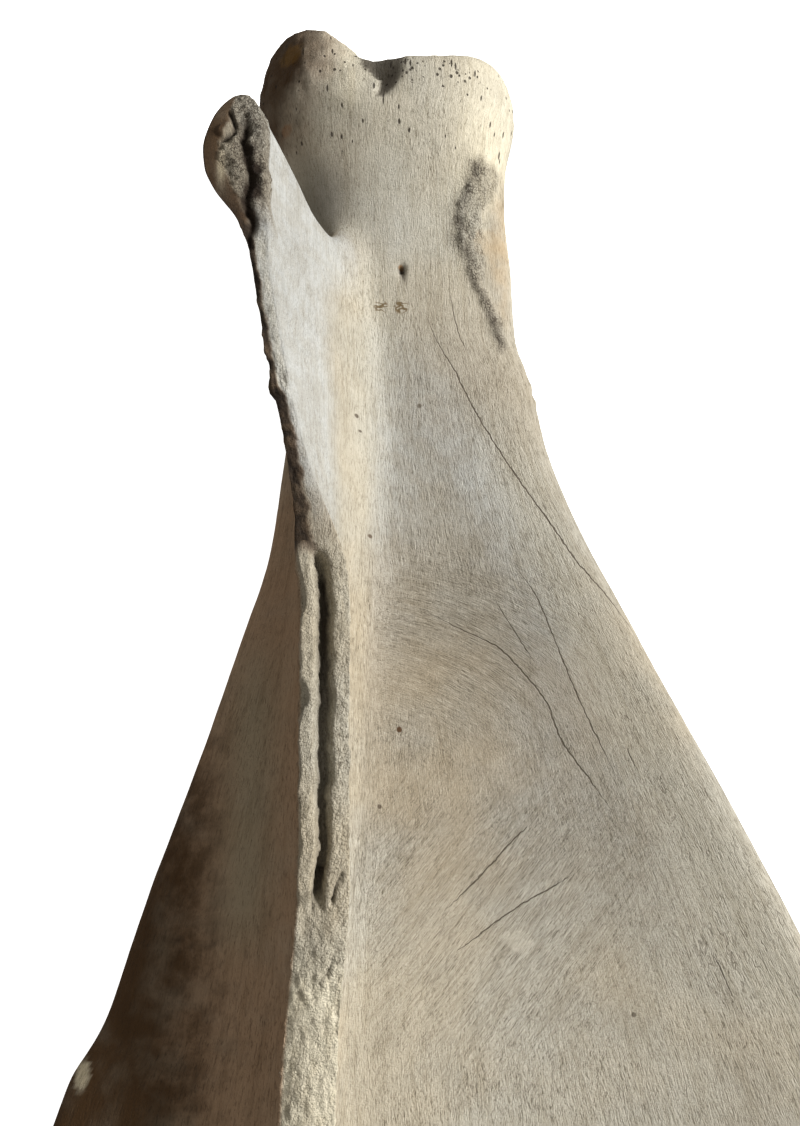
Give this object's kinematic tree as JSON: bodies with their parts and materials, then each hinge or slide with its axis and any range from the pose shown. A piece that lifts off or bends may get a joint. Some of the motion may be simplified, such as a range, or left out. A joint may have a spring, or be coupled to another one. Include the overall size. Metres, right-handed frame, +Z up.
{
  "type": "cow shoulder blade",
  "caption": "Right shoulder blade of a cow: flat fan-shaped blade with a tall ridge, hooked end, narrow neck and socket.",
  "frame": {"origin": "middle of the bone's outline, on the table that it lies on", "axes": "+Y along the bone to the shoulder socket, +X to the rear edge of the blade, +Z up through the ridge"},
  "size_m": [0.204, 0.3614, 0.0725],
  "materials": {
    "bone": "dry weathered bone, matt"
  },
  "bodies": {
    "root": {"scapula": "bone"}
  },
  "joints": []
}
